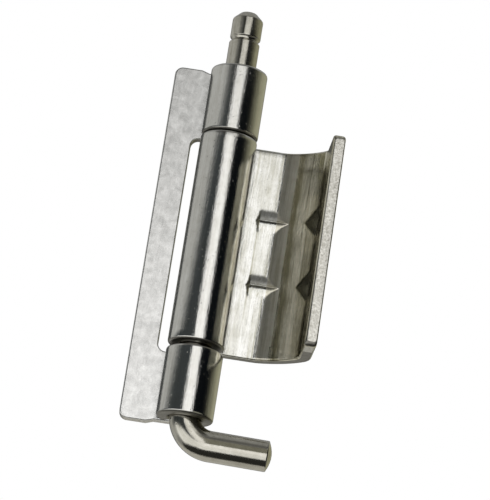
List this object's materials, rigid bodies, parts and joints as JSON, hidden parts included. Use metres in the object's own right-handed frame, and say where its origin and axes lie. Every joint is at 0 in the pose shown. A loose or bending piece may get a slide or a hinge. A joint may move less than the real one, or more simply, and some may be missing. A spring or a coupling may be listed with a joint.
{
  "type": "concealed hinge",
  "caption": "Weld-on concealed hinge: a narrow frame leaf and a channel-shaped door leaf rolled round a removable pin with a bent handle.",
  "frame": {"origin": "centre of the frame leaf's flat back face, which is welded to the cabinet frame", "axes": "+Y points out of that face, away from the hinge; +Z runs along the pin towards its grooved tip; +X points from the frame leaf to the door leaf"},
  "size_m": [0.0293, 0.0152, 0.0759],
  "materials": {
    "leaf_steel": "polished stainless sheet with fine rolling lines and a faint shear texture on cut edges",
    "pin_steel": "drawn stainless rod, lightly polished, with fine lines along its length"
  },
  "bodies": {
    "frame": {"frame_leaf": "leaf_steel"},
    "door": {"door_leaf": "leaf_steel"},
    "pin": {"hinge_pin": "pin_steel"}
  },
  "joints": [
    {"name": "door_swing", "type": "hinge", "parent": "frame", "child": "door", "pos_m": [0.0083, -0.0046, 0], "axis": [0, 0, -1], "range_deg": [-100, 200]},
    {"name": "pin_pull", "type": "slide", "parent": "frame", "child": "pin", "axis": [0, 0, -1], "range_m": [0, 0.075]}
  ]
}
